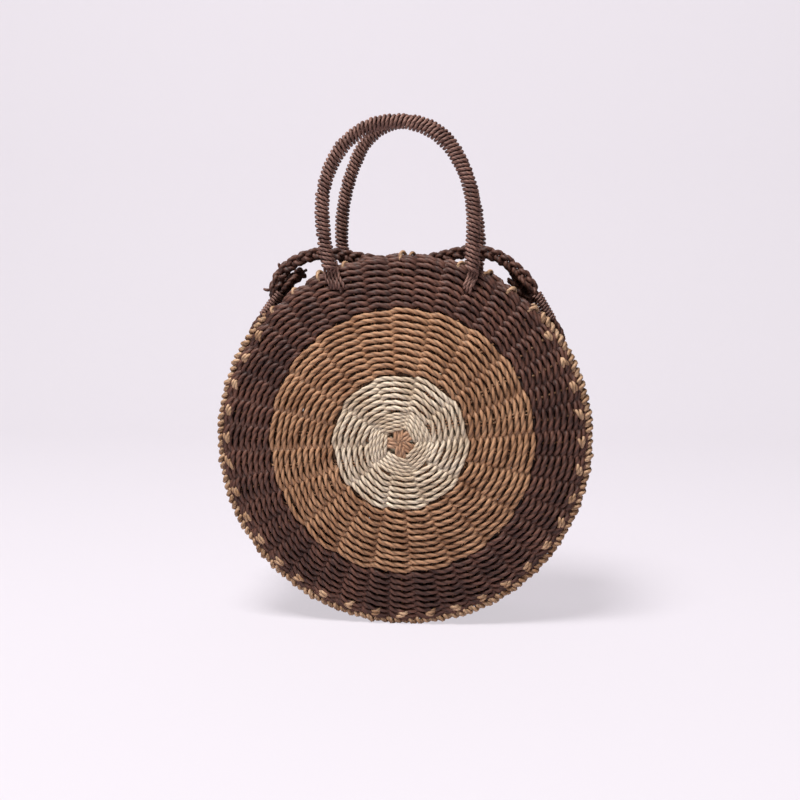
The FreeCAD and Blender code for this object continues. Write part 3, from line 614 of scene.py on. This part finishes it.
def makeLashing(side, hand, sign):
    # Ends of the handle's cords, drawn down over the rim and in between the brown rows
    facing = -1 if side == "front" else 1
    foot = handle["footHeight"]
    cords, spacing, lean = (lashing[hand][key] for key in ("cords", "spacing", "lean"))
    strands = []
    for cord in range(cords):
        beside = (cord - (cords - 1) / 2) * spacing
        low = foot - lashing["reach"] + dice.normal(0, lashing["uneven"])
        route = []
        for level, places in ((foot, lashing["upper"]), (low, lashing["lower"])):
            for spread, drawn, out, over in places:
                across = handle["footX"] + (beside * spread - lean * drawn)
                route.append((sign * across, facing * (handle["depth"] + out), level + over))
        strands.append(smoothLine(route))
    mesh = sweepRope(side + hand + "Lashing", strands, lashing["rope"])
    piece = addPiece(side + hand + "Lashing", mesh, fineCord, None,
                     [side + "_handle_" + hand.lower() + "_lashing"])
    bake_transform(piece)


for side in ("front", "back"):
    makeHandle(side)
    makeLashing(side, "Left", -1)
    makeLashing(side, "Right", 1)
print("handles and lashings made")


# Side loops

sideLoop = {"cord": {"diameter": 4.7, "groove": 0.25, "plies": 2, "corners": 8, "lay": 11},
            "whip": {"diameter": 2.4, "groove": 0.15, "plies": 2, "corners": 7, "lay": 7},
            "coil": (4.9, 3.6), "coilStart": -14.7, "taper": 0.15, "pitch": 2.45, "turns": 10, "perTurn": 16,
            "angle": 46, "neckRadius": 153.2, "leanEnd": 8,
            "left": {"sign": -1, "out": 2.5, "lean": 0.1}, "right": {"sign": 1, "out": 0, "lean": 0.2},
            # along the rim, across the gusset and away from it
            "outerRoot": ((-35, 0.8, -12), (-35, 0.8, -5), (-31.5, 1, 1), (-22, 1.3, 1.6), (-14, 1.6, 0.9)),
            "innerRoot": ((-30, -1.2, -12), (-30, -1.2, -6), (-28, -1.3, -1.8), (-21, -1.4, -1.2),
                          (-14, -1.6, -0.9)),
            "eye": ((-6, 2.2, 0), (3, 2.2, 0), (9.9, 2.2, 0), (14, 3.2, 0), (18, 7.4, 0), (25, 8.4, 0),
                    (28.6, 4.6, 0))}


def loopPlace(points, hand):
    # Along the rim towards the top, across the gusset, and away from it, where the neck leans out
    turn, sign = math.radians(sideLoop["angle"]), sideLoop[hand]["sign"]
    away = np.array([sign * math.sin(turn), 0, math.cos(turn)])
    along = np.array([-sign * math.cos(turn), 0, math.sin(turn)])
    across = np.cross(away, along)
    points = np.array(points, float)
    points[:, 2] += sideLoop[hand]["out"] + sideLoop[hand]["lean"] * np.minimum(points[:, 0], sideLoop["leanEnd"])
    centre = np.array([0, 0, middleHeight]) + away * sideLoop["neckRadius"]
    return centre + points[:, :1] * along + points[:, 1:2] * across + points[:, 2:] * away


def makeSideLoop(hand):
    eye = [np.array(place) for place in sideLoop["eye"]]
    back = [place * (1, -1, 1) for place in reversed(eye)]
    route = [*sideLoop["outerRoot"], *eye, *back, *reversed(sideLoop["innerRoot"])]
    mesh = sweepRope(hand + "SideLoop", [loopPlace(smoothLine(route), hand)], sideLoop["cord"])
    addPiece(hand + "SideLoop", mesh, brownRope, "bag", [hand + "_side_loop"])
    turn = np.linspace(0, sideLoop["turns"], sideLoop["turns"] * sideLoop["perTurn"] + 1)
    widen = 1 + sideLoop["taper"] * (2 * turn / sideLoop["turns"] - 1)
    coil = np.column_stack([sideLoop["coilStart"] + turn * sideLoop["pitch"],
                            sideLoop["coil"][0] * widen * np.cos(2 * math.pi * turn),
                            sideLoop["coil"][1] * widen * np.sin(2 * math.pi * turn)])
    whip = sweepRope(hand + "LoopWhipping", [loopPlace(coil, hand)], sideLoop["whip"])
    addPiece(hand + "LoopWhipping", whip, fineCord, "bag", [hand + "_loop_whipping"])


makeSideLoop("left")
makeSideLoop("right")


# Braid across the mouth

braid = {"strand": {"diameter": 5.3, "groove": 0.22, "plies": 2, "corners": 8, "lay": 10}, "diameter": 9,
         "wide": 3.3, "thick": 1.9, "period": 27, "strands": 3, "step": 1.2, "leastStep": 0.01, "tipDiameter": 2.9,
         # places over the panels' middle
         "route": ((84.6, 6, 129), (88.2, 6, 125), (92.5, 5.5, 119), (95.5, 4, 112), (100, 1, 110), (102.8, -2, 115),
                   (100.8, -2, 121.5), (95.5, -1.5, 129), (86, -1, 137), (76.4, 0, 144.4), (66, 1.5, 148.2),
                   (55, 3, 149.5), (44, 5, 149), (23, 5, 143.5), (-6.6, 3, 138.5), (-43, 0, 144), (-60, -1, 147.5),
                   (-75.2, -2, 147.8), (-85, -2.5, 145), (-93, -2.5, 141.5), (-100.5, -2.5, 136.5),
                   (-106.5, -2.5, 129.5), (-110, -2.5, 121), (-111, -1, 113), (-107.5, 3, 110.5), (-104.5, 6, 115),
                   (-102.3, 6.5, 121.4), (-97.5, 6.5, 127), (-91, 6, 130.8), (-86, 6, 133.3)),
         "tips": (((-103, -2, 131), (-105, -3, 134), (-106.3, -3, 137), (-107.3, -3, 140.3)),
                  ((-109, -2, 119), (-113.5, -3, 118.2), (-117, -3, 116.8), (-120.5, -2, 119)),
                  ((-91, 5, 131), (-88.5, 5, 132.5), (-86, 5, 134), (-84.5, 5, 134.6)),
                  ((88, 4, 125), (86, 4, 128), (84.5, 4, 131), (83.3, 4, 132.8)),
                  ((88, 3, 121), (85.5, 2, 124), (83, 2, 126.5), (81.5, 2, 128)))}


def overMiddle(places):
    return [(x, y, middleHeight + z) for x, y, z in places]


def makeBraid():
    # Three ropes cross over one another in turn
    line = smoothLine(overMiddle(braid["route"]), 16, order=3)
    steps = np.linalg.norm(np.diff(line, axis=0), axis=1)
    line = line[np.concatenate([[True], steps > braid["leastStep"]])]
    travel = travelAlong(line)
    even = np.arange(0, travel[-1], braid["step"])
    middle = np.column_stack([np.interp(even, travel, line[:, axis]) for axis in range(3)])
    heading = np.gradient(middle, axis=0)
    heading /= np.linalg.norm(heading, axis=1)[:, None]
    flat = np.array([0.0, 1.0, 0.0]) - heading * heading[:, 1:2]
    flat /= np.linalg.norm(flat, axis=1)[:, None]
    wide = np.cross(heading, flat)
    strands = []
    for strand in range(braid["strands"]):
        turn = 2 * math.pi * (even / braid["period"] + strand / braid["strands"])
        across = braid["wide"] * np.sin(turn)[:, None] * wide
        strands.append(middle + across + braid["thick"] * np.sin(2 * turn)[:, None] * flat)
    mesh = sweepRope("mouthBraid", strands, braid["strand"])
    piece = addPiece("mouthBraid", mesh, brownRope, "bag", ["mouth_braid"])
    tips = [smoothLine(overMiddle(tip), 5) for tip in braid["tips"]]
    tipMesh = sweepRope("braidTips", tips, {**braid["strand"], "diameter": braid["tipDiameter"]})
    ends = addPiece("braidTips", tipMesh, brownRope, "bag", [])


makeBraid()
print("loops and braid made")


# Floor, light and camera

stage = {"floor": "#dfd9e0", "roughness": 0.9, "shown": "#f3ecf3", "glow": 0.68,
         "size": 4.0, "behind": 1.1, "bend": 0.5, "bendSteps": 16, "high": 2.2}


def floorMaterial():
    # Pale matt cloth that shows brighter to the camera than it lights the bag
    material = bpy.data.materials.new("paleCloth")
    material.use_nodes = True
    tree = material.node_tree
    shader = tree.nodes["Principled BSDF"]
    shader.inputs["Base Color"].default_value = linearColour(stage["floor"])
    shader.inputs["Roughness"].default_value = stage["roughness"]
    path = addNode(tree, "ShaderNodeLightPath", {}, {})
    glow = addNode(tree, "ShaderNodeEmission", {"Color": linearColour(stage["shown"])}, {})
    share = addNode(tree, "ShaderNodeMath", {"operation": "MULTIPLY", 1: stage["glow"]},
                    {0: path.outputs["Is Camera Ray"]})
    shown = addNode(tree, "ShaderNodeMixShader", {}, {0: share.outputs["Value"], 1: shader.outputs["BSDF"],
                                                      2: glow.outputs["Emission"]})
    tree.links.new(shown.outputs["Shader"], tree.nodes["Material Output"].inputs["Surface"])
    return material


def only(kind, items):
    return [item for item in items if isinstance(item, kind)]


def makeStage():
    # The floor runs back and bends up behind the bag
    shape = bmesh.new()
    near = [shape.verts.new((side * stage["size"], -stage["size"], 0)) for side in (-1, 1)]
    edge = shape.edges.new(near)
    far = bmesh.ops.extrude_edge_only(shape, edges=[edge])["geom"]
    moved = only(bmesh.types.BMVert, far)
    bmesh.ops.translate(shape, verts=moved, vec=(0, stage["size"] + stage["behind"], 0))
    farEdge = [item for item in only(bmesh.types.BMEdge, far) if all(vert in moved for vert in item.verts)]
    bent = bmesh.ops.spin(shape, geom=farEdge, cent=(0, stage["behind"], stage["bend"]), axis=(1, 0, 0),
                          angle=math.pi / 2, steps=stage["bendSteps"])
    top = bmesh.ops.extrude_edge_only(shape, edges=only(bmesh.types.BMEdge, bent["geom_last"]))["geom"]
    bmesh.ops.translate(shape, verts=only(bmesh.types.BMVert, top), vec=(0, 0, stage["high"]))
    for face in shape.faces:
        face.smooth = True
    mesh = bpy.data.meshes.new("paleCloth")
    shape.to_mesh(mesh)
    shape.free()
    mesh.materials.append(floorMaterial())
    cloth = bpy.data.objects.new("paleCloth", mesh)
    scene.collection.objects.link(cloth)


makeStage()

lamps = ({"name": "key", "size": 1.0, "power": 98, "place": (-0.5, -0.95, 2.4)},
         {"name": "fill", "size": 1.6, "power": 2.6, "place": (1.0, -2.2, 0.9)})
lampAim = Vector((0, 0, 0.2))
for lamp in lamps:
    light = bpy.data.lights.new(lamp["name"], "AREA")
    light.size = lamp["size"]
    light.energy = lamp["power"]
    holder = bpy.data.objects.new(lamp["name"], light)
    holder.location = lamp["place"]
    holder.rotation_euler = (lampAim - holder.location).to_track_quat("-Z", "Y").to_euler()
    scene.collection.objects.link(holder)

studio = {"colour": "#f6f1f5", "light": 0.06, "shown": 0.92}  # the world lights the bag less than it shows


def makeWorld():
    world = bpy.data.worlds.new("studio")
    world.use_nodes = True
    tree = world.node_tree
    background = tree.nodes["Background"]
    background.inputs["Color"].default_value = linearColour(studio["colour"])
    path = addNode(tree, "ShaderNodeLightPath", {}, {})
    strength = addNode(tree, "ShaderNodeMapRange", {"To Min": studio["light"], "To Max": studio["shown"]},
                       {"Value": path.outputs["Is Camera Ray"]})
    tree.links.new(strength.outputs["Result"], background.inputs["Strength"])
    scene.world = world


makeWorld()

view = {"azimuth": 5.5, "elevation": 6, "distance": 1.047, "focal": 1311, "image": 800, "sensor": 36,
        "aim": (402.8, 439.4)}


def makeCamera():
    # The middle of the front rim falls on the aimed pixel
    azimuth, elevation = math.radians(view["azimuth"]), math.radians(view["elevation"])
    back = Vector((math.sin(azimuth) * math.cos(elevation), -math.cos(azimuth) * math.cos(elevation),
                   math.sin(elevation)))
    right = Vector((math.cos(azimuth), math.sin(azimuth), 0))
    up = back.cross(right)
    half = view["image"] / 2
    data = bpy.data.cameras.new("camera")
    data.sensor_width = view["sensor"]
    data.lens = view["sensor"] * view["focal"] / view["image"]
    camera = bpy.data.objects.new("camera", data)
    target = Vector((0, -rimPlane / mm, middleHeight / mm))
    spread = view["distance"] / view["focal"]
    camera.location = (target + back * view["distance"] - right * ((view["aim"][0] - half) * spread)
                       + up * ((view["aim"][1] - half) * spread))
    camera.rotation_euler = (-back).to_track_quat("-Z", "Y").to_euler()
    scene.collection.objects.link(camera)
    scene.camera = camera


makeCamera()
print("floor, light and camera made")
